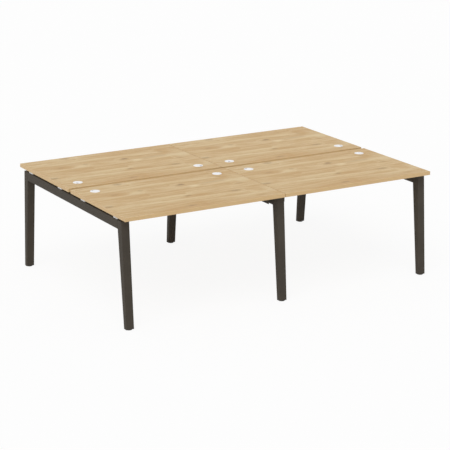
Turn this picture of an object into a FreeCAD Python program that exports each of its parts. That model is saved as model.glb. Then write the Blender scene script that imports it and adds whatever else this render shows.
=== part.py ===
"""Four-seat bench desk: four worktops in two rows on three trestle frames.

Millimetres, +Z up, +X along the rows, -Y towards the front seats.
The origin is on the floor, under the middle of the desk.
"""
import FreeCAD
import Part
import math
import os

Vector = FreeCAD.Vector
AXIS_X = Vector(1, 0, 0)
AXIS_Y = Vector(0, 1, 0)
AXIS_Z = Vector(0, 0, 1)

# Worktops
desk_height = 750.0
top_length = 1180.0
top_depth = 800.0
top_thickness = 25.0
row_gap = 35.0
seam_gap = 4.0
edging_thickness = 2.0
edging_round = 1.2

# Trestle frames
frame_width = 56.0
frame_end_inset = 4.0
beam_height = 60.0
frame_wall = 2.0
frame_corner_radius = 3.0
leg_top_depth = 61.0
leg_foot_depth = 35.0
leg_top_inset = 62.0
leg_foot_inset = 17.0

# Spacer pads and the screws that hold the worktops
pad_height = 14.0
pad_width = 44.0
pad_length = 60.0
pad_corner_radius = 5.0
pad_edge_inset = 162.0
screw_radius = 3.0
screw_head_radius = 6.0
screw_head_height = 4.0
screw_bite = 16.0
screw_tip_room = 1.0
screw_access_radius = 8.0

# Saddles on the middle crossbeam
saddle_width = 125.0
saddle_length = 100.0
saddle_depth = 54.0
saddle_wall = 3.0
saddle_bend_radius = 6.0
saddle_pad_centre = 38.0

# Stretchers between the frames
stretcher_width = 30.0
stretcher_height = 40.0
stretcher_wall = 2.0
stretcher_corner_radius = 3.0
stretcher_plate_width = 84.0
stretcher_plate_height = 48.0
stretcher_plate_thickness = 4.0
stretcher_plate_corner_radius = 5.0
stretcher_bolt_spacing = 58.0
bolt_radius = 4.0
bolt_head_flat_width = 13.0
bolt_head_height = 5.3
bolt_head_crown_share = 0.95
bolt_grip_beyond_wall = 8.0

# Cable ports
port_end_inset = 125.0
port_gap_inset = 115.0
port_bore_radius = 30.0
port_flange_radius = 33.5
port_flange_height = 2.2
port_flange_round = 1.0
port_ledge_height = 0.9
port_ledge_radius = 31.0
port_sleeve_wall = 2.2
port_sleeve_depth = 20.0
cap_edge_round = 0.5
cap_skirt_wall = 1.8
cap_skirt_depth = 7.0
cap_notch_width = 17.0
cap_notch_depth = 19.0
cap_notch_turn = 35.0

# Levelling feet
foot_radius = 20.0
foot_height = 4.0
foot_edge_chamfer = 0.8
foot_seat_gap = 0.3
stud_radius = 4.0
stud_length = 30.0
stud_tip_chamfer = 1.0
stud_socket_depth = 2.5
plug_height = 18.0
plug_wall = 3.0
plug_boss_radius = 9.0
plug_floor = 4.0

# Clearances and the overrun of cuts
fit_clearance = 0.05
screw_clearance = 0.3
port_clearance = 0.3
cap_clearance = 0.3
cap_lift = 0.1
plug_clearance = 0.1
overrun = 1.0

# Places that follow from the sizes
half_length = seam_gap / 2 + top_length
half_depth = row_gap / 2 + top_depth
top_underside = desk_height - top_thickness
beam_top = top_underside - pad_height
beam_bottom = beam_top - beam_height
beam_middle = beam_bottom + beam_height / 2
leg_bottom = foot_height + foot_seat_gap
end_frame_x = half_length - frame_end_inset - frame_width / 2
row_middle = row_gap / 2 + top_depth / 2
pad_rows = (row_gap / 2 + pad_edge_inset, half_depth - pad_edge_inset)
foot_y = half_depth - leg_foot_inset - leg_foot_depth / 2

FRAMES = {"left": -end_frame_x, "middle": 0.0, "right": end_frame_x}
ROWS = {"front": -1, "back": 1}
BAYS = {"left": -1, "right": 1}


def write(name, *solids):
    """Write one node, made of one solid or of several separate ones."""
    shape = solids[0] if len(solids) == 1 else Part.makeCompound(list(solids))
    shape.exportStep("parts/" + name + ".step")


def block(low, high):
    """Box between two corners."""
    size = high - low
    return Part.makeBox(size.x, size.y, size.z, low)


def centred_block(centre, width, length, height):
    """Box about a centre: width along X, length along Y, height along Z."""
    half = Vector(width / 2, length / 2, height / 2)
    return block(centre - half, centre + half)


def upright_cylinder(radius, x, y, low, high):
    return Part.makeCylinder(radius, high - low, Vector(x, y, low))


def edges_along(shape, direction):
    """Straight edges of a shape that run along a direction."""
    found = []
    for edge in shape.Edges:
        run = edge.Vertexes[-1].Point - edge.Vertexes[0].Point
        if run.Length > fit_clearance and run.cross(direction).Length < fit_clearance:
            found.append(edge)
    return found


def rounded_rectangle(width, depth, radius, centre_x, centre_y, z):
    """Closed wire of a rectangle with arc corners, in a level plane."""
    x, y = width / 2, depth / 2
    corners = ((x, y, 0), (-x, y, 90), (-x, -y, 180), (x, -y, 270))
    arcs = []
    for corner_x, corner_y, start in corners:
        middle = Vector(
            centre_x + corner_x - math.copysign(radius, corner_x),
            centre_y + corner_y - math.copysign(radius, corner_y),
            z,
        )
        arcs.append(Part.makeCircle(radius, middle, AXIS_Z, start, start + 90))
    edges = []
    for arc, following in zip(arcs, arcs[1:] + arcs[:1]):
        edges.append(arc)
        edges.append(Part.makeLine(arc.Vertexes[-1].Point, following.Vertexes[0].Point))
    return Part.Wire(edges)


def hollow_bar(width, height, wall, corner_radius, length):
    """Rectangular tube along +Y from the origin, centred on it in X and Z."""
    section = Part.Face(rounded_rectangle(width, height, corner_radius, 0, 0, 0))
    inside = Part.Face(
        rounded_rectangle(width - 2 * wall, height - 2 * wall, corner_radius - wall, 0, 0, 0)
    )
    tube = section.cut(inside).extrude(Vector(0, 0, length))
    tube.rotate(Vector(), AXIS_X, -90)
    return tube


# Worktops and their edging

def top_corner(row, bay):
    """Low corner of a worktop with its edging, at its underside."""
    x = seam_gap / 2 if bay > 0 else -half_length
    y = row_gap / 2 if row > 0 else -half_depth
    return Vector(x, y, top_underside)


def port_places(row, bay):
    """Port centres of one worktop, the one by the desk's end first."""
    y = row * (row_gap / 2 + port_gap_inset)
    return {
        "outer": (bay * (half_length - port_end_inset), y),
        "inner": (bay * (seam_gap / 2 + port_end_inset), y),
    }


def screw_places(row, bay):
    """Screw centres of one worktop: two over its end frame, two over the middle one."""
    return [(x, row * y) for x in (bay * end_frame_x, bay * saddle_pad_centre) for y in pad_rows]


def worktop(row, bay):
    """Board inside its edging, with the port bores and the blind screw holes."""
    low = top_corner(row, bay)
    edging = Vector(edging_thickness, edging_thickness, 0)
    high = low + Vector(top_length, top_depth, top_thickness)
    board = block(low + edging, high - edging)
    holes = []
    for x, y in port_places(row, bay).values():
        holes.append(
            upright_cylinder(port_bore_radius, x, y, top_underside - overrun, desk_height + overrun)
        )
    tip = top_underside + screw_bite + screw_tip_room
    for x, y in screw_places(row, bay):
        holes.append(upright_cylinder(screw_radius + fit_clearance, x, y, top_underside - overrun, tip))
    return board.cut(Part.makeCompound(holes))


def edging_strips(row, bay):
    """Four strips: the long ones run past the ends of the short ones."""
    low = top_corner(row, bay)
    high = low + Vector(top_length, top_depth, top_thickness)
    edging = Vector(edging_thickness, edging_thickness, 0)
    outside = block(low, high)
    outside = outside.makeFillet(edging_round, outside.Edges)
    past = Vector(0, 0, overrun)
    ring = outside.cut(block(low + edging - past, high - edging + past))
    strips = []
    for start in (low.y, high.y - edging_thickness):
        span = block(
            Vector(low.x, start, low.z), Vector(high.x, start + edging_thickness, high.z)
        )
        strips.append(ring.common(span).Solids[0])
    for start in (low.x, high.x - edging_thickness):
        span = block(
            Vector(start, low.y + edging_thickness, low.z),
            Vector(start + edging_thickness, high.y - edging_thickness, high.z),
        )
        strips.append(ring.common(span).Solids[0])
    return strips


# Cable ports

sleeve_radius = port_bore_radius - port_clearance
sleeve_bore_radius = sleeve_radius - port_sleeve_wall
cap_radius = port_ledge_radius - cap_clearance
cap_underside = desk_height + port_ledge_height + cap_lift
cap_top = desk_height + port_flange_height
skirt_radius = sleeve_bore_radius - cap_clearance


def turned(points, x, y):
    """Solid of a closed radius and height outline turned about an upright axis."""
    outline = Part.makePolygon([Vector(radius, 0, z) for radius, z in points + points[:1]])
    solid = Part.Face(outline).revolve(Vector(), AXIS_Z, 360)
    solid.translate(Vector(x, y, 0))
    return solid


def circles_at(shape, radius, z):
    """Circular edges of a shape with a given radius and height."""
    found = []
    for edge in shape.Edges:
        if not isinstance(edge.Curve, Part.Circle):
            continue
        same_radius = abs(edge.Curve.Radius - radius) < fit_clearance
        if same_radius and abs(edge.Curve.Center.z - z) < fit_clearance:
            found.append(edge)
    return found


def port_liner(x, y):
    """Flanged sleeve: the rim lies on the worktop, a ledge inside it carries the cap."""
    ledge = desk_height + port_ledge_height
    rim = desk_height + port_flange_height
    liner = turned(
        [
            (sleeve_bore_radius, desk_height - port_sleeve_depth),
            (sleeve_radius, desk_height - port_sleeve_depth),
            (sleeve_radius, desk_height),
            (port_flange_radius, desk_height),
            (port_flange_radius, rim),
            (port_ledge_radius, rim),
            (port_ledge_radius, ledge),
            (sleeve_bore_radius, ledge),
        ],
        x, y,
    )
    return liner.makeFillet(port_flange_round, circles_at(liner, port_flange_radius, rim))


def port_cap(x, y, row, side):
    """Flat cover with a skirt, cut by a round-ended cable notch that faces the row gap."""
    skirt_bottom = cap_underside - cap_skirt_depth
    cap = turned(
        [
            (0, cap_underside),
            (skirt_radius - cap_skirt_wall, cap_underside),
            (skirt_radius - cap_skirt_wall, skirt_bottom),
            (skirt_radius, skirt_bottom),
            (skirt_radius, cap_underside),
            (cap_radius, cap_underside),
            (cap_radius, cap_top),
            (0, cap_top),
        ],
        x, y,
    )
    cap = cap.makeFillet(cap_edge_round, circles_at(cap, cap_radius, cap_top))
    round_end = cap_radius - cap_notch_depth + cap_notch_width / 2
    notch = upright_cylinder(
        cap_notch_width / 2, round_end, 0, skirt_bottom - overrun, cap_top + overrun
    )
    notch = notch.fuse(
        block(
            Vector(round_end, -cap_notch_width / 2, skirt_bottom - overrun),
            Vector(cap_radius + overrun, cap_notch_width / 2, cap_top + overrun),
        )
    )
    notch.rotate(Vector(), AXIS_Z, notch_heading(row, side))
    notch.translate(Vector(x, y, 0))
    return cap.cut(notch)


def notch_heading(row, side):
    """Angle of a notch from +X: towards the row gap, turned to the port's own side."""
    return -row * (90 - side * cap_notch_turn)


# Trestle frames

def leg_outer_face(z):
    """Distance of a leg's outer face from the desk's middle at a height."""
    share = (z - leg_bottom) / (beam_top - leg_bottom)
    inset = leg_foot_inset + (leg_top_inset - leg_foot_inset) * share
    return half_depth - inset


def leg_depth(z):
    """Depth of a leg along Y at a height."""
    share = (z - leg_bottom) / (beam_top - leg_bottom)
    return leg_foot_depth + (leg_top_depth - leg_foot_depth) * share


def leg_inner_face(z):
    return leg_outer_face(z) - leg_depth(z)


def leg_section(x, row, z, inward):
    """Rounded outline of a leg at a height, drawn in by a distance on every side."""
    centre_y = row * (leg_outer_face(z) + leg_inner_face(z)) / 2
    return rounded_rectangle(
        frame_width - 2 * inward,
        leg_depth(z) - 2 * inward,
        frame_corner_radius - inward,
        x, centre_y, z,
    )


def leg_loft(x, row, low, high, inward):
    """Straight-sided solid between a leg's outlines at two heights."""
    lower = leg_section(x, row, low, inward)
    upper = leg_section(x, row, high, inward)
    sides = [Part.makeRuledSurface(*pair) for pair in zip(lower.Edges, upper.Edges)]
    shell = Part.makeShell(sides + [Part.Face(lower), Part.Face(upper)])
    shell.sewShape()
    return Part.makeSolid(shell)


def leg(x, row):
    """Tapered leaning box, folded from sheet, closed on top and open below."""
    shell = leg_loft(x, row, leg_bottom, beam_top, 0)
    inside = leg_loft(x, row, leg_bottom - overrun, beam_top - frame_wall, frame_wall)
    return shell.cut(inside)


def leg_end_plug(x, row):
    """Moulded cup in the end of a leg, with a boss for the levelling stud."""
    top = leg_bottom + plug_height
    outside = leg_loft(x, row, leg_bottom, top, frame_wall + plug_clearance)
    floor = leg_bottom + plug_floor
    hollow = centred_block(
        Vector(x, row * foot_y, (floor + top + overrun) / 2),
        frame_width - 2 * (frame_wall + plug_wall),
        leg_foot_depth - 2 * (frame_wall + plug_wall),
        top + overrun - floor,
    )
    boss = upright_cylinder(plug_boss_radius, x, row * foot_y, floor, top + overrun)
    bore = upright_cylinder(
        stud_radius + fit_clearance, x, row * foot_y, leg_bottom - overrun, top + overrun
    )
    return outside.cut(hollow.cut(boss)).cut(bore)


def crossbeam(x, bolted_sides, screws):
    """Tube between two legs, its ends cut to their lean, drilled for bolts and screws."""
    reach = leg_inner_face(beam_bottom)
    tube = hollow_bar(frame_width, beam_height, frame_wall, frame_corner_radius, 2 * reach)
    tube.translate(Vector(x, -reach, beam_middle))
    side_view = Part.makePolygon(
        [
            Vector(x - frame_width, -leg_inner_face(beam_bottom), beam_bottom),
            Vector(x - frame_width, leg_inner_face(beam_bottom), beam_bottom),
            Vector(x - frame_width, leg_inner_face(beam_top), beam_top),
            Vector(x - frame_width, -leg_inner_face(beam_top), beam_top),
            Vector(x - frame_width, -leg_inner_face(beam_bottom), beam_bottom),
        ]
    )
    beam = tube.common(Part.Face(side_view).extrude(Vector(2 * frame_width, 0, 0)))
    holes = [bolt_hole(x, side, y) for side in bolted_sides for y in stretcher_bolt_rows()]
    for screw_x, screw_y in screws:
        holes += screw_and_driver_holes(screw_x, screw_y)
    return beam.cut(Part.makeCompound(holes))


def screw_and_driver_holes(x, y):
    """Screw hole in a crossbeam's upper wall, and a wider hole under it for the driver."""
    upper = beam_top - frame_wall
    lower = beam_bottom + frame_wall
    return [
        upright_cylinder(screw_radius + screw_clearance, x, y, upper - overrun, beam_top + overrun),
        upright_cylinder(screw_access_radius, x, y, beam_bottom - overrun, lower + overrun),
    ]


def stretcher_bolt_rows():
    """Bolt places along Y, two beside each stretcher."""
    half = stretcher_bolt_spacing / 2
    return [row * row_middle + step for row in ROWS.values() for step in (-half, half)]


def bolt_hole(x, side, y):
    """Hole through one side wall of a crossbeam."""
    start = x + side * (frame_width / 2 - frame_wall - overrun)
    length = frame_wall + 2 * overrun
    return Part.makeCylinder(
        bolt_radius + screw_clearance, length, Vector(start, y, beam_middle), AXIS_X * side
    )


# Spacer pads, saddles and screws

def frame_pads(frame_name):
    """Pad centres of one frame: on its beam, or on both sides of it on the saddles."""
    columns = [FRAMES[frame_name]]
    if frame_name == "middle":
        columns = [side * saddle_pad_centre for side in BAYS.values()]
    return [(x, row * y) for x in columns for row in ROWS.values() for y in pad_rows]


def spacer_pad(x, y, low):
    """Moulded pad under a worktop, with its screw hole."""
    height = top_underside - low
    pad = centred_block(Vector(x, y, low + height / 2), pad_width, pad_length, height)
    pad = pad.makeFillet(pad_corner_radius, edges_along(pad, AXIS_Z))
    hole = upright_cylinder(
        screw_radius + screw_clearance, x, y, low - overrun, top_underside + overrun
    )
    return pad.cut(hole)


def worktop_screw(x, y, seat):
    """Pan-head screw from its seat, up through the pad into the worktop."""
    shank = upright_cylinder(screw_radius, x, y, seat, top_underside + screw_bite)
    head = upright_cylinder(screw_head_radius, x, y, seat - screw_head_height, seat)
    head = head.makeFillet(
        screw_head_height / 2, circles_at(head, screw_head_radius, seat - screw_head_height)
    )
    return head.fuse(shank)


def saddle(y):
    """Folded plate across the middle crossbeam, wide enough for both worktops' pads."""
    top = beam_top + saddle_wall
    outside = centred_block(
        Vector(0, y, top - saddle_depth / 2), saddle_width, saddle_length, saddle_depth
    )
    upper = [edge for edge in edges_along(outside, AXIS_Y) if edge.CenterOfMass.z > beam_top]
    outside = outside.makeFillet(saddle_bend_radius, upper)
    inside = centred_block(
        Vector(0, y, beam_top - saddle_depth / 2),
        saddle_width - 2 * saddle_wall, saddle_length + 2 * overrun, saddle_depth,
    )
    upper = [edge for edge in edges_along(inside, AXIS_Y) if edge.CenterOfMass.z > beam_bottom]
    inside = inside.makeFillet(saddle_bend_radius - saddle_wall, upper)
    holes = [
        upright_cylinder(
            screw_radius + screw_clearance, side * saddle_pad_centre, y,
            beam_top - overrun, top + overrun,
        )
        for side in BAYS.values()
    ]
    return outside.cut(inside).cut(Part.makeCompound(holes))


# Stretchers

def stretcher(row, bay):
    """Tube between two crossbeams with a bolting plate welded to each end."""
    y = row * row_middle
    start = bay * frame_width / 2
    end = bay * (end_frame_x - frame_width / 2)
    low, high = min(start, end), max(start, end)
    tube = hollow_bar(
        stretcher_width, stretcher_height, stretcher_wall, stretcher_corner_radius,
        high - low - 2 * stretcher_plate_thickness,
    )
    tube.rotate(Vector(), AXIS_Z, -90)
    tube.translate(Vector(low + stretcher_plate_thickness, y, beam_middle))
    for near in (low, high - stretcher_plate_thickness):
        tube = tube.fuse(bolting_plate(near, y))
    return tube.removeSplitter()


def bolting_plate(near, y):
    """Plate against a crossbeam's side, with two bolt holes."""
    middle = Vector(near + stretcher_plate_thickness / 2, y, beam_middle)
    plate = centred_block(
        middle, stretcher_plate_thickness, stretcher_plate_width, stretcher_plate_height
    )
    plate = plate.makeFillet(stretcher_plate_corner_radius, edges_along(plate, AXIS_X))
    for step in (-stretcher_bolt_spacing / 2, stretcher_bolt_spacing / 2):
        hole = Part.makeCylinder(
            bolt_radius + screw_clearance,
            stretcher_plate_thickness + 2 * overrun,
            Vector(near - overrun, y + step, beam_middle),
            AXIS_X,
        )
        plate = plate.cut(hole)
    return plate


def stretcher_bolt(face_x, away, y):
    """Hex bolt with a chamfered crown, into a crossbeam; away points from the beam."""
    seat = face_x + away * stretcher_plate_thickness
    reach = stretcher_plate_thickness + frame_wall + bolt_grip_beyond_wall
    shank = Part.makeCylinder(bolt_radius, reach, Vector(seat, y, beam_middle), AXIS_X * -away)
    corner = bolt_head_flat_width / math.sqrt(3)
    points = []
    for step in range(7):
        turn = math.radians(60 * step)
        points.append(
            Vector(seat, y + corner * math.cos(turn), beam_middle + corner * math.sin(turn))
        )
    head = Part.Face(Part.makePolygon(points)).extrude(AXIS_X * (away * bolt_head_height))
    crown_radius = bolt_head_crown_share * bolt_head_flat_width / 2
    crown = Part.makeCone(
        crown_radius + bolt_head_height * math.sqrt(3), crown_radius,
        bolt_head_height, Vector(seat, y, beam_middle), AXIS_X * away,
    )
    return head.common(crown).fuse(shank)


# Levelling feet

def foot_pad(x, row):
    """Round pad with chamfered rims and a socket for its stud."""
    pad = turned(
        [
            (0, 0),
            (foot_radius - foot_edge_chamfer, 0),
            (foot_radius, foot_edge_chamfer),
            (foot_radius, foot_height - foot_edge_chamfer),
            (foot_radius - foot_edge_chamfer, foot_height),
            (0, foot_height),
        ],
        x, row * foot_y,
    )
    socket = upright_cylinder(
        stud_radius + fit_clearance, x, row * foot_y,
        foot_height - stud_socket_depth, foot_height + overrun,
    )
    return pad.cut(socket)


def foot_stud(x, row):
    """Levelling stud from the pad's socket up through the leg's end plug."""
    low = foot_height - stud_socket_depth
    high = low + stud_length
    return turned(
        [
            (0, low),
            (stud_radius, low),
            (stud_radius, high - stud_tip_chamfer),
            (stud_radius - stud_tip_chamfer, high),
            (0, high),
        ],
        x, row * foot_y,
    )


def write_worktops():
    for row_name, row in ROWS.items():
        for bay_name, bay in BAYS.items():
            place = row_name + "_" + bay_name
            write("desktop_" + place, worktop(row, bay))
            write("edging_" + place, *edging_strips(row, bay))
            ports = port_places(row, bay)
            write("cable_port_liners_" + place, *[port_liner(x, y) for x, y in ports.values()])
            for port_name, (x, y) in ports.items():
                side = bay if port_name == "outer" else -bay
                write("cable_port_cap_" + place + "_" + port_name, port_cap(x, y, row, side))
            write("stretcher_" + place, stretcher(row, bay))


def write_frames():
    for frame_name, x in FRAMES.items():
        bolted_sides = [side for side in BAYS.values() if side * x <= 0]
        screws = [] if frame_name == "middle" else frame_pads(frame_name)
        write("crossbeam_" + frame_name, crossbeam(x, bolted_sides, screws))
        for row_name, row in ROWS.items():
            place = row_name + "_" + frame_name
            write("leg_" + place, leg(x, row))
            write("foot_pad_" + place, foot_pad(x, row))
            write("foot_stud_" + place, foot_stud(x, row))
        write("leg_end_plugs_" + frame_name, *[leg_end_plug(x, row) for row in ROWS.values()])


def write_fixings():
    for frame_name in FRAMES:
        on_saddles = frame_name == "middle"
        pad_low = beam_top + saddle_wall if on_saddles else beam_top
        seat = beam_top if on_saddles else beam_top - frame_wall
        places = frame_pads(frame_name)
        write("spacer_pads_" + frame_name, *[spacer_pad(x, y, pad_low) for x, y in places])
        write("worktop_screws_" + frame_name, *[worktop_screw(x, y, seat) for x, y in places])
    for row_name, row in ROWS.items():
        for pad_name, y in zip(("inner", "outer"), pad_rows):
            write("saddle_" + row_name + "_" + pad_name, saddle(row * y))
    for bay_name, bay in BAYS.items():
        bolts = []
        for face_x, away in (
            (bay * frame_width / 2, bay),
            (bay * (end_frame_x - frame_width / 2), -bay),
        ):
            bolts += [stretcher_bolt(face_x, away, y) for y in stretcher_bolt_rows()]
        write("stretcher_bolts_" + bay_name, *bolts)


os.makedirs("parts", exist_ok=True)
write_worktops()
write_frames()
write_fixings()
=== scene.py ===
import math

import bmesh
import bpy
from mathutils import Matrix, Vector


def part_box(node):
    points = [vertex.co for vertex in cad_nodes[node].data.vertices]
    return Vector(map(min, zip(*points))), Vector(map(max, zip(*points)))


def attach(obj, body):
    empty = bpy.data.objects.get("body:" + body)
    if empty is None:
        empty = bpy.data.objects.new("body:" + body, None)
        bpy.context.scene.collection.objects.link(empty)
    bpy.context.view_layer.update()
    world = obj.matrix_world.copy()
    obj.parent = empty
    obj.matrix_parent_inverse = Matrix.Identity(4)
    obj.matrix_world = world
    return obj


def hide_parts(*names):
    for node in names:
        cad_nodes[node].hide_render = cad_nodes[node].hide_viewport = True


# Finishes, light and camera of the bench desk, in metres
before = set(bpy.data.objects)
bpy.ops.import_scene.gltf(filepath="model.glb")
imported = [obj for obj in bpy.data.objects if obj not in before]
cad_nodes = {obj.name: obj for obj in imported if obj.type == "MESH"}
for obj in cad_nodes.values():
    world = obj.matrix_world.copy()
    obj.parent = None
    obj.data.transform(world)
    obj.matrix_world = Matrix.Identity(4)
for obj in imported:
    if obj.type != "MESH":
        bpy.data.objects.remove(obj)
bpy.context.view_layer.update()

# Colours, linear
OAK = (0.605, 0.418, 0.205, 1)
OAK_LIGHT = (0.705, 0.555, 0.316, 1)
OAK_DARK = (0.495, 0.287, 0.096, 1)
OAK_KNOT = (0.265, 0.142, 0.050, 1)
OAK_GREY = (0.335, 0.220, 0.105, 1)
EDGING = (0.630, 0.436, 0.222, 1)
EDGING_DARK = (0.515, 0.334, 0.147, 1)
FRAME_PAINT = (0.0530, 0.0445, 0.0350, 1)
FRAME_PAINT_PALE = (0.0680, 0.0570, 0.0450, 1)
WHITE_PLASTIC = (0.920, 0.920, 0.930, 1)
WHITE_PLASTIC_DULL = (0.870, 0.870, 0.885, 1)
FOOT_PLASTIC = (0.040, 0.040, 0.038, 1)
FOOT_PLASTIC_PALE = (0.055, 0.055, 0.053, 1)
ZINC = (0.580, 0.590, 0.600, 1)
ZINC_DULL = (0.440, 0.450, 0.470, 1)
FLOOR_PAINT = (0.900, 0.900, 0.900, 1)
BLACK = (0, 0, 0, 1)
WHITE = (1, 1, 1, 1)

# Patches in the oak: along and across from a board's left back corner, length, width, strength
KNOTS = [
    (0.700, 0.240, 0.066, 0.052, 0.85),
    (0.668, 0.258, 0.060, 0.040, 0.50),
    (0.600, 0.516, 0.070, 0.036, 0.65),
    (0.190, 0.262, 0.080, 0.046, 0.38),
    (0.384, 0.256, 0.060, 0.040, 0.40),
    (1.060, 0.400, 0.060, 0.036, 0.32),
    (0.510, 0.742, 0.110, 0.030, 0.60),
    (1.040, 0.730, 0.110, 0.030, 0.32),
    (1.020, 0.178, 0.060, 0.046, 0.45),
    (0.330, 0.030, 0.100, 0.056, 0.72),
]
GREY_KNOTS = [
    (0.030, 0.510, 0.095, 0.066, 0.80),
    (0.940, 0.560, 0.110, 0.056, 0.62),
]
GREY_CLOUDS = [(0.930, 0.282, 0.300, 0.046, 0.34)]
BROWN_CLOUDS = [
    (0.700, 0.520, 0.380, 0.052, 0.85),
    (1.045, 0.165, 0.150, 0.150, 0.90),
    (0.220, 0.265, 0.240, 0.100, 0.55),
    (0.580, 0.762, 1.250, 0.115, 0.66),
    (0.420, 0.360, 0.540, 0.060, 0.40),
    (0.320, 0.640, 0.540, 0.080, 0.30),
    (1.090, 0.600, 0.140, 0.140, 0.50),
]
LIGHT_CLOUDS = [
    (0.500, 0.150, 1.050, 0.080, 0.55),
    (0.440, 0.572, 0.640, 0.052, 0.70),
    (0.340, 0.285, 0.190, 0.060, 0.75),
    (0.460, 0.480, 0.720, 0.042, 0.50),
    (0.760, 0.304, 0.120, 0.058, 1.00),
    (0.960, 0.300, 0.380, 0.100, 0.45),
    (1.120, 0.350, 0.150, 0.120, 0.50),
    (0.120, 0.325, 0.280, 0.050, 0.50),
    (0.860, 0.175, 0.320, 0.050, 0.50),
    (0.220, 0.060, 0.520, 0.050, 0.35),
]

# Where a patch fades out and is full, in shares of its half size
PATCH_RIM_SHARE = 1.05
PATCH_HEART_SHARE = 0.25

# Knots: radians of ring from middle to rim, ring strengths, and how far and hard they bend grain
KNOT_RING_RADIANS = 16.0
KNOT_RING_FAINT_SHARE = 0.55
KNOT_RING_STRONG_SHARE = 1.10
KNOT_REACH_SHARE = 3.2
KNOT_BEND_SHARE = 0.75

# Noise: usual detail and roughness, its middle, and the range that most of it lies in
PLAIN_DETAIL = 3.0
PLAIN_ROUGHNESS = 0.55
NOISE_MIDDLE = 0.5
NOISE_RANGE = (0.34, 0.66)
WIDE_NOISE_RANGE = (0.30, 0.70)

# Layers of the oak: cells to a metre along, across and through the board, detail, roughness, shift
SWAY = ((1.7, 5.5, 1.7), 2.0)
WOBBLE = ((55.0, 80.0, 1.0), 2.0, 0.60)
FIGURE = ((0.8, 6.5, 1.0), 2.0, 0.45)
BANDS = ((1.3, 16.0, 1.0), 3.0, 0.60, (3.1, 0.7, 0))
RIBBONS = ((3.4, 42.0, 3.0), 3.0, 0.60, (1.7, 5.2, 0))
STREAKS = ((5.0, 130.0, 5.0), 4.0, 0.65)
FIBRES = ((18.0, 560.0, 18.0), 3.0, 0.70)
PORES = ((55.0, 1500.0, 55.0), 1.0, 0.50)

# How wide sway and wobble move the grain, and radians of ring over the figure's range
SWAY_WIDTH = 0.042
WOBBLE_WIDTH = 0.022
FIGURE_RING_RADIANS = 105.0

# Planks that the decor shows, and how far the grain jumps from one to the next
PLANK_LENGTH = 0.62
PLANK_WIDTH = 0.1335
PLANK_STAGGER_SHARE = 0.37
PLANK_JUMP = (7.0, 3.0, 0.0)

# Tints of the oak: plain oak, the planks' own tones, then by layer its start, full, strength, colour
EVEN_OAK_SHARE = 0.34
PLANK_TONE_SHARE = 0.12
GRAIN_TINTS = [
    ("rings", 0.10, 1.00, 0.20, OAK_DARK),
    ("rings", -0.30, -1.00, 0.18, OAK_LIGHT),
    ("ribbons", 0.52, 0.66, 0.50, OAK_DARK),
    ("ribbons", 0.48, 0.36, 0.50, OAK_LIGHT),
    ("streaks", 0.52, 0.68, 0.48, OAK_DARK),
    ("streaks", 0.47, 0.32, 0.42, OAK_LIGHT),
    ("fibres", 0.52, 0.66, 0.40, OAK_DARK),
    ("pores", 0.60, 0.72, 0.45, OAK_KNOT),
]

# How streaks and ribbons together break up the patches: their range, and the faintest share left
RAGGED_RANGE = (0.75, 1.05)
RAGGED_FAINT_SHARE = 0.55

# Oak's gloss and relief
OAK_ROUGHNESS = 0.50
OAK_ROUGHNESS_DRIFT = 0.06
GRAIN_RELIEF_SHARE = 0.30
GRAIN_DEPTH = 0.0003

# Edging: streaks along and across a strip, clouds, gloss, relief, and how far an end's face leans
EDGING_CELLS_ALONG = 5.0
EDGING_CELLS_ACROSS = 420.0
EDGING_STREAKS = (4.0, 0.65)
EDGING_STREAK_RANGE = (0.48, 0.78)
EDGING_STREAK_SHARE = 0.75
EDGING_CLOUDS = ((2.5, 2.5, 30.0), 2.0)
EDGING_CLOUD_RANGE = (0.35, 0.70)
EDGING_CLOUD_SHARE = 0.30
EDGING_ROUGHNESS = 0.42
EDGING_RELIEF_SHARE = 0.20
END_FACE_LEAN_SHARE = 0.6

# Coats and mouldings: slow drift and fine grain of the tone, relief and gloss
DRIFT_CELLS = 7.0
DRIFT_SHARE = 0.45
FINE_SHARE = 0.55
FINE_DETAIL = 2.0
FINE_RELIEF_SHARE = 0.35
COAT_ROUGHNESS_DRIFT = 0.05
PLAIN_SHINE = 0.30
PAINT_SHINE = 0.14

# Thread of the levelling studs, in shares of its pitch and in turns, and the stud's pointed tip
THREAD_PITCH = 0.00125
THREAD_STEPS = 28
THREAD_DEPTH_SHARE = 0.62
THREAD_SINK_SHARE = 0.10
THREAD_CREST_SHARE = 0.50
THREAD_WIDTH_SHARE = 0.98
THREAD_START_TURNS = 2
THREAD_BARE_TURNS = 5
STUD_TIP_SHARE = 0.45

# Floor and light: the floor's half side, shares of white, each lamp's place, strength and spread
FLOOR_REACH = 40
FLOOR_WHITE_SHARE = 0.90
SKY_LIGHT_SHARE = 0.55
LAMPS = {
    "lamp_above": ((-3.0, -3.2, 6.0), 1.40, 50),
    "lamp_left": ((-6.0, -4.5, 2.5), 0.25, 50),
}

# Camera: place, angles in degrees, focal length in pixels of the picture's width, sensor and reach
CAMERA_PLACE = (-5.65109, -9.73393, 3.58425)
CAMERA_TURN = -30.20
CAMERA_LOOK_DOWN = 16.12
CAMERA_FOCAL_PIXELS = 1660.80
PICTURE_PIXELS = 450
SENSOR_MILLIMETRES = 36.0
FARTHEST_SEEN = 100.0


def node(tree, kind, inputs=None, **settings):
    """A new shader node: its settings, then its inputs, each a value or another node's output."""
    made = tree.nodes.new(kind)
    for key, value in settings.items():
        setattr(made, key, value)
    for socket, value in (inputs or {}).items():
        if isinstance(value, bpy.types.NodeSocket):
            tree.links.new(value, made.inputs[socket])
        else:
            made.inputs[socket].default_value = value
    return made


def maths(tree, operation, first, second=0.0):
    """Output of one Math node."""
    return node(tree, "ShaderNodeMath", {0: first, 1: second}, operation=operation).outputs[0]


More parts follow.
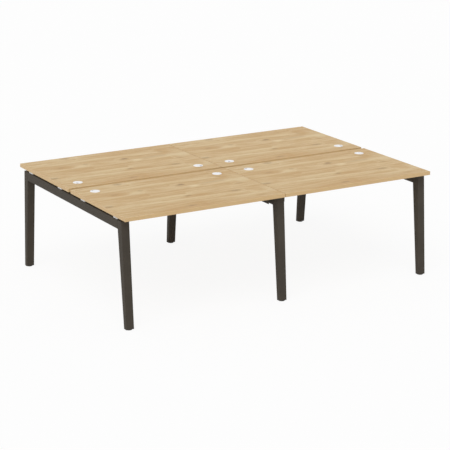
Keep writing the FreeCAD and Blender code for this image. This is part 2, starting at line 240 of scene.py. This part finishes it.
def arrows(tree, operation, first, second):
    """Output of one Math node for places and arrows."""
    made = node(tree, "ShaderNodeVectorMath", {0: first, 1: second}, operation=operation)
    return made.outputs["Vector"]


def length_of(tree, arrow):
    """Length of an arrow."""
    return node(tree, "ShaderNodeVectorMath", {0: arrow}, operation="LENGTH").outputs["Value"]


def mixed(tree, share, first, second):
    """Colour that goes from first to second with share."""
    made = node(tree, "ShaderNodeMix", {0: share, 6: first, 7: second}, data_type="RGBA")
    return made.outputs[2]


def moved(tree, place, location=(0, 0, 0), scale=(1, 1, 1)):
    """Coordinates scaled, then moved."""
    made = node(tree, "ShaderNodeMapping", {"Vector": place, "Location": location, "Scale": scale})
    return made.outputs[0]


def noise(tree, place, cells, detail=PLAIN_DETAIL, roughness=PLAIN_ROUGHNESS, shift=(0, 0, 0)):
    """Grey noise with its own cells to a metre along each axis."""
    stretched = moved(tree, place, shift, cells)
    made = node(
        tree,
        "ShaderNodeTexNoise",
        {"Vector": stretched, "Scale": 1.0, "Detail": detail, "Roughness": roughness},
    )
    return made.outputs["Fac"]


def ranged(tree, value, low, high, start=0.0, end=1.0):
    """Value from low to high made start to end, smoothly."""
    made = node(
        tree,
        "ShaderNodeMapRange",
        {"Value": value, "From Min": low, "From Max": high, "To Min": start, "To Max": end},
        interpolation_type="SMOOTHSTEP",
    )
    return made.outputs["Result"]


def new_finish(name, roughness, metallic=0.0, shine=PLAIN_SHINE):
    """A material with its roughness and shine, and its nodes."""
    material = bpy.data.materials.new(name)
    material.use_nodes = True
    shader = material.node_tree.nodes["Principled BSDF"]
    shader.inputs["Roughness"].default_value = roughness
    shader.inputs["Metallic"].default_value = metallic
    shader.inputs["Specular IOR Level"].default_value = shine
    return material, material.node_tree, shader


def object_place(tree):
    """Object coordinates."""
    return node(tree, "ShaderNodeTexCoord").outputs["Object"]


def bumped(tree, shader, height, strength, depth):
    """The shader's normal, raised by a height."""
    made = node(
        tree, "ShaderNodeBump", {"Height": height, "Strength": strength, "Distance": depth}
    )
    tree.links.new(made.outputs[0], shader.inputs["Normal"])


def swing(tree, place, layer, width, axes):
    """Arrow to and fro along some axes by a layer of noise, over a width."""
    share = maths(tree, "SUBTRACT", noise(tree, place, *layer), NOISE_MIDDLE)
    metres = maths(tree, "MULTIPLY", share, width)
    return node(tree, "ShaderNodeCombineXYZ", {axis: metres for axis in axes}).outputs[0]


def from_middle(tree, place, patch, spread=1.0):
    """Place as seen from a patch's middle, where the rim of the patch, spread out, is at one."""
    along, across, length, width = patch[:4]
    scale = (2 / (spread * length), 2 / (spread * width), 0)
    return moved(tree, place, (-along * scale[0], -across * scale[1], 0), scale)


def with_patches(tree, colour, place, ragged, patches, patch_colour, ring_radians=0.0):
    """Colour with soft oval patches laid over it, broken up by the grain and, in knots, by rings."""
    for patch in patches:
        strength = patch[-1]
        distance = length_of(tree, from_middle(tree, place, patch))
        share = ranged(tree, distance, PATCH_RIM_SHARE, PATCH_HEART_SHARE, 0.0, strength)
        share = maths(tree, "MULTIPLY", share, ragged)
        if ring_radians:
            wave = maths(tree, "SINE", maths(tree, "MULTIPLY", distance, ring_radians))
            ring = ranged(tree, wave, -1.0, 1.0, KNOT_RING_FAINT_SHARE, KNOT_RING_STRONG_SHARE)
            share = maths(tree, "MULTIPLY", share, ring)
        colour = mixed(tree, share, colour, patch_colour)
    return colour


def bent_round_knots(tree, place):
    """Place across which the grain runs, spread apart at each knot so that it flows round it."""
    for knot in KNOTS + GREY_KNOTS:
        half_width = knot[3] / 2
        seen = from_middle(tree, place, knot, KNOT_REACH_SHARE)
        most = -KNOT_BEND_SHARE * KNOT_REACH_SHARE * half_width
        pull = ranged(tree, length_of(tree, seen), 1.0, 0.0, 0.0, most)
        seen_across = node(tree, "ShaderNodeSeparateXYZ", {0: seen}).outputs["Y"]
        bend = node(tree, "ShaderNodeCombineXYZ", {"Y": maths(tree, "MULTIPLY", seen_across, pull)})
        place = arrows(tree, "ADD", place, bend.outputs[0])
    return place


def plank_tones(tree, place):
    """Grey tone of each plank, staggered from row to row."""
    made = node(
        tree,
        "ShaderNodeTexBrick",
        {
            "Vector": place, "Color1": BLACK, "Color2": WHITE, "Scale": 1.0, "Mortar Size": 0.0,
            "Bias": 0.0, "Brick Width": PLANK_LENGTH, "Row Height": PLANK_WIDTH,
        },
        offset=PLANK_STAGGER_SHARE,
        squash=1.0,
    )
    return made.outputs["Color"]


def oak_board_finish(name, left, back):
    """Oak decor on a coated board, its figure laid from the board's left back corner."""
    material, tree, shader = new_finish(name, OAK_ROUGHNESS)
    place = moved(tree, object_place(tree), (-left, back, 0), (1, -1, 1))
    figured = arrows(tree, "ADD", place, swing(tree, place, SWAY, SWAY_WIDTH, "Y"))
    uneven = arrows(tree, "ADD", figured, swing(tree, place, WOBBLE, WOBBLE_WIDTH, "XY"))
    grained = bent_round_knots(tree, figured)
    planks = plank_tones(tree, place)
    in_plank = arrows(tree, "ADD", grained, arrows(tree, "MULTIPLY", planks, PLANK_JUMP))

    figure = noise(tree, in_plank, *FIGURE)
    bands = noise(tree, in_plank, *BANDS)
    layers = {
        "rings": maths(tree, "SINE", maths(tree, "MULTIPLY", figure, FIGURE_RING_RADIANS)),
        "ribbons": noise(tree, in_plank, *RIBBONS),
        "streaks": noise(tree, grained, *STREAKS),
        "fibres": noise(tree, grained, *FIBRES),
        "pores": noise(tree, grained, *PORES),
    }

    colour = mixed(tree, ranged(tree, bands, *NOISE_RANGE), OAK_DARK, OAK_LIGHT)
    colour = mixed(tree, EVEN_OAK_SHARE, colour, OAK)
    colour = mixed(tree, PLANK_TONE_SHARE, colour, mixed(tree, planks, OAK_DARK, OAK_LIGHT))
    for layer, start, full, strength, tint in GRAIN_TINTS:
        colour = mixed(tree, ranged(tree, layers[layer], start, full, 0.0, strength), colour, tint)

    broken = maths(tree, "ADD", layers["streaks"], layers["ribbons"])
    ragged = ranged(tree, broken, *RAGGED_RANGE, RAGGED_FAINT_SHARE, 1.0)
    colour = with_patches(tree, colour, figured, ragged, LIGHT_CLOUDS, OAK_LIGHT)
    colour = with_patches(tree, colour, figured, ragged, BROWN_CLOUDS, OAK_DARK)
    colour = with_patches(tree, colour, figured, ragged, GREY_CLOUDS, OAK_GREY)
    colour = with_patches(tree, colour, uneven, ragged, GREY_KNOTS, OAK_GREY, KNOT_RING_RADIANS)
    colour = with_patches(tree, colour, uneven, ragged, KNOTS, OAK_KNOT, KNOT_RING_RADIANS)
    tree.links.new(colour, shader.inputs["Base Color"])

    smooth, rough = OAK_ROUGHNESS - OAK_ROUGHNESS_DRIFT, OAK_ROUGHNESS + OAK_ROUGHNESS_DRIFT
    gloss = ranged(tree, layers["streaks"], *WIDE_NOISE_RANGE, smooth, rough)
    tree.links.new(gloss, shader.inputs["Roughness"])
    relief = maths(tree, "ADD", layers["fibres"], layers["pores"])
    bumped(tree, shader, relief, GRAIN_RELIEF_SHARE, GRAIN_DEPTH)
    return material


def edging_finish():
    """Oak decor on an edging strip: fine streaks along whichever way the strip runs."""
    material, tree, shader = new_finish("oak_edging", EDGING_ROUGHNESS)
    place = object_place(tree)
    normal = node(tree, "ShaderNodeTexCoord").outputs["Normal"]
    lean = maths(tree, "ABSOLUTE", node(tree, "ShaderNodeSeparateXYZ", {0: normal}).outputs["X"])
    on_ends = maths(tree, "GREATER_THAN", lean, END_FACE_LEAN_SHARE)
    along, across = EDGING_CELLS_ALONG, EDGING_CELLS_ACROSS
    long_streaks = noise(tree, place, (along, across, across), *EDGING_STREAKS)
    end_streaks = noise(tree, place, (across, along, across), *EDGING_STREAKS)
    streaks = node(tree, "ShaderNodeMix", {0: on_ends, 2: long_streaks, 3: end_streaks}).outputs[0]
    clouds = noise(tree, place, *EDGING_CLOUDS)
    streaked = ranged(tree, streaks, *EDGING_STREAK_RANGE, 0.0, EDGING_STREAK_SHARE)
    clouded = ranged(tree, clouds, *EDGING_CLOUD_RANGE, 0.0, EDGING_CLOUD_SHARE)
    colour = mixed(tree, clouded, mixed(tree, streaked, EDGING, EDGING_DARK), OAK)
    tree.links.new(colour, shader.inputs["Base Color"])
    bumped(tree, shader, streaks, EDGING_RELIEF_SHARE, GRAIN_DEPTH)
    return material


def speckled_finish(name, colour, pale, roughness, cells, depth, metallic=0.0, shine=PLAIN_SHINE):
    """A coat or moulding: fine grain in its surface, and a tone that drifts slowly."""
    material, tree, shader = new_finish(name, roughness, metallic, shine)
    place = object_place(tree)
    drift = noise(tree, place, (DRIFT_CELLS, DRIFT_CELLS, DRIFT_CELLS))
    fine = noise(tree, place, (cells, cells, cells), FINE_DETAIL)
    slow_tone = maths(tree, "MULTIPLY", drift, DRIFT_SHARE)
    tone = maths(tree, "ADD", slow_tone, maths(tree, "MULTIPLY", fine, FINE_SHARE))
    speckled = mixed(tree, ranged(tree, tone, *NOISE_RANGE), colour, pale)
    tree.links.new(speckled, shader.inputs["Base Color"])
    smooth, rough = roughness - COAT_ROUGHNESS_DRIFT, roughness + COAT_ROUGHNESS_DRIFT
    gloss = ranged(tree, tone, *WIDE_NOISE_RANGE, smooth, rough)
    tree.links.new(gloss, shader.inputs["Roughness"])
    bumped(tree, shader, fine, FINE_RELIEF_SHARE, depth)
    return material


def piece_finishes():
    """Finish of every piece but the boards, by the start of its name, longer names first."""
    zinc = speckled_finish(
        "zinc_steel", ZINC_DULL, ZINC, roughness=0.36, cells=350.0, depth=0.00005, metallic=1.0
    )
    white = speckled_finish(
        "white_plastic", WHITE_PLASTIC_DULL, WHITE_PLASTIC, roughness=0.40, cells=900.0, depth=0.00008
    )
    paint = speckled_finish(
        "frame_paint", FRAME_PAINT, FRAME_PAINT_PALE, roughness=0.62, cells=700.0, depth=0.00025,
        shine=PAINT_SHINE,
    )
    feet = speckled_finish(
        "foot_plastic", FOOT_PLASTIC, FOOT_PLASTIC_PALE, roughness=0.50, cells=800.0, depth=0.0001
    )
    plugs = speckled_finish(
        "plug_plastic", FOOT_PLASTIC, FOOT_PLASTIC_PALE, roughness=0.58, cells=600.0, depth=0.0001
    )
    return {
        "edging": edging_finish(), "cable_port": white, "spacer_pads": white, "crossbeam": paint,
        "leg_end_plugs": plugs, "leg": paint, "saddle": paint, "stretcher_bolts": zinc,
        "stretcher": paint, "worktop_screws": zinc, "foot_pad": feet, "foot_stud": zinc,
    }


def dress_cad_nodes(finishes):
    """Each node of the frame gets the finish of what it is made of."""
    for name, piece in cad_nodes.items():
        if name.startswith("desktop"):
            low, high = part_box(name)
            finish = oak_board_finish(name.replace("desktop", "oak_board"), low.x, high.y)
        else:
            finish = next(f for start, f in finishes.items() if name.startswith(start))
        piece.data.materials.clear()
        piece.data.materials.append(finish)


def linked_object(name, made, finish):
    """Object in the scene from a finished bmesh, with its finish."""
    mesh = bpy.data.meshes.new(name)
    made.to_mesh(mesh)
    made.free()
    mesh.materials.append(finish)
    linked = bpy.data.objects.new(name, mesh)
    bpy.context.scene.collection.objects.link(linked)
    return linked


def threaded_stud(name, body, finish):
    """Levelling stud with its thread cut in: a core, a helical ridge and a pointed tip."""
    low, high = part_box(name)
    middle = (low + high) / 2
    radius = (high.x - low.x) / 2
    core = radius - THREAD_DEPTH_SHARE * THREAD_PITCH
    ridge_root = core - THREAD_SINK_SHARE * THREAD_PITCH
    turns = int((high.z - low.z) / THREAD_PITCH) - THREAD_BARE_TURNS
    made = bmesh.new()
    bmesh.ops.create_cone(
        made, cap_ends=True, segments=THREAD_STEPS, radius1=core, radius2=core, depth=high.z - low.z
    )
    bmesh.ops.translate(made, verts=made.verts, vec=(0, 0, middle.z))
    tip = [e for e in made.edges if all(v.co.z > middle.z for v in e.verts)]
    bmesh.ops.bevel(
        made, geom=tip, offset=STUD_TIP_SHARE * core, affect="EDGES", segments=1, profile=0.5,
        material=-1,
    )
    start = low.z + THREAD_START_TURNS * THREAD_PITCH
    corners = [
        made.verts.new((ridge_root, 0, start)),
        made.verts.new((radius, 0, start + THREAD_CREST_SHARE * THREAD_PITCH)),
        made.verts.new((ridge_root, 0, start + THREAD_WIDTH_SHARE * THREAD_PITCH)),
    ]
    ridge = [made.edges.new((corners[i - 1], corners[i])) for i in range(len(corners))]
    bmesh.ops.spin(
        made, geom=corners + ridge, cent=(0, 0, 0), axis=(0, 0, 1),
        dvec=(0, 0, THREAD_PITCH / THREAD_STEPS), angle=turns * math.tau,
        steps=turns * THREAD_STEPS, use_merge=False,
    )
    open_edges = [e for e in made.edges if e.is_boundary]
    bmesh.ops.holes_fill(made, edges=open_edges, sides=len(corners))
    bmesh.ops.recalc_face_normals(made, faces=made.faces)
    bmesh.ops.translate(made, verts=made.verts, vec=(middle.x, middle.y, 0))
    stud = linked_object("threaded_" + name, made, finish)
    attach(stud, body)
    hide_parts(name)


def light_paths_seen(tree):
    """One for rays from the camera and from reflections and glass, else zero."""
    path = node(tree, "ShaderNodeLightPath")
    seen = maths(tree, "MAXIMUM", path.outputs["Is Camera Ray"], path.outputs["Is Glossy Ray"])
    return maths(tree, "MAXIMUM", seen, path.outputs["Is Transmission Ray"])


def floor_finish():
    """White that keeps a soft shadow, and is open when looked at from below."""
    material = bpy.data.materials.new("floor_white")
    material.use_nodes = True
    tree = material.node_tree
    tree.nodes.clear()
    matt = node(tree, "ShaderNodeBsdfDiffuse", {"Color": FLOOR_PAINT})
    glow = node(tree, "ShaderNodeEmission", {"Color": WHITE, "Strength": 1.0})
    share = maths(tree, "MULTIPLY", light_paths_seen(tree), FLOOR_WHITE_SHARE)
    surface = node(tree, "ShaderNodeMixShader", {0: share, 1: matt.outputs[0], 2: glow.outputs[0]})
    behind = node(tree, "ShaderNodeNewGeometry").outputs["Backfacing"]
    clear = node(tree, "ShaderNodeBsdfTransparent")
    both = node(tree, "ShaderNodeMixShader", {0: behind, 1: surface.outputs[0], 2: clear.outputs[0]})
    node(tree, "ShaderNodeOutputMaterial", {"Surface": both.outputs[0]})
    return material


def make_floor():
    """Pale floor that the desk stands on."""
    made = bmesh.new()
    bmesh.ops.create_grid(made, x_segments=1, y_segments=1, size=FLOOR_REACH)
    floor = linked_object("floor", made, floor_finish())


def make_world():
    """White surroundings that light the desk evenly."""
    world = bpy.data.worlds.new("studio")
    world.use_nodes = True
    bpy.context.scene.world = world
    tree = world.node_tree
    background = tree.nodes["Background"]
    background.inputs["Color"].default_value = WHITE
    seen = maths(tree, "MULTIPLY", light_paths_seen(tree), 1 - SKY_LIGHT_SHARE)
    tree.links.new(maths(tree, "ADD", seen, SKY_LIGHT_SHARE), background.inputs["Strength"])


def soft_lamp(name, place, strength, spread):
    """Wide, even lamp that shines from a place towards the desk's middle."""
    lamp = bpy.data.lights.new(name, "SUN")
    lamp.energy = strength
    lamp.angle = math.radians(spread)
    holder = bpy.data.objects.new(name, lamp)
    holder.location = place
    holder.rotation_euler = (-Vector(place)).to_track_quat("-Z", "Y").to_euler()
    bpy.context.scene.collection.objects.link(holder)


def make_camera():
    """Camera from high on the front left, as far off as the photograph's."""
    data = bpy.data.cameras.new("camera")
    data.sensor_width = SENSOR_MILLIMETRES
    data.lens = CAMERA_FOCAL_PIXELS * SENSOR_MILLIMETRES / PICTURE_PIXELS
    data.clip_end = FARTHEST_SEEN
    camera = bpy.data.objects.new("camera", data)
    camera.location = CAMERA_PLACE
    camera.rotation_euler = (math.radians(90 - CAMERA_LOOK_DOWN), 0, math.radians(CAMERA_TURN))
    bpy.context.scene.collection.objects.link(camera)
    bpy.context.scene.camera = camera


finishes = piece_finishes()
dress_cad_nodes(finishes)
for name in [n for n in cad_nodes if n.startswith("foot_stud")]:
    threaded_stud(name, name.replace("foot_stud", "foot"), finishes["foot_stud"])

make_floor()
make_world()
for name, (place, strength, spread) in LAMPS.items():
    soft_lamp(name, place, strength, spread)
make_camera()
bpy.context.scene.view_settings.view_transform = "Standard"
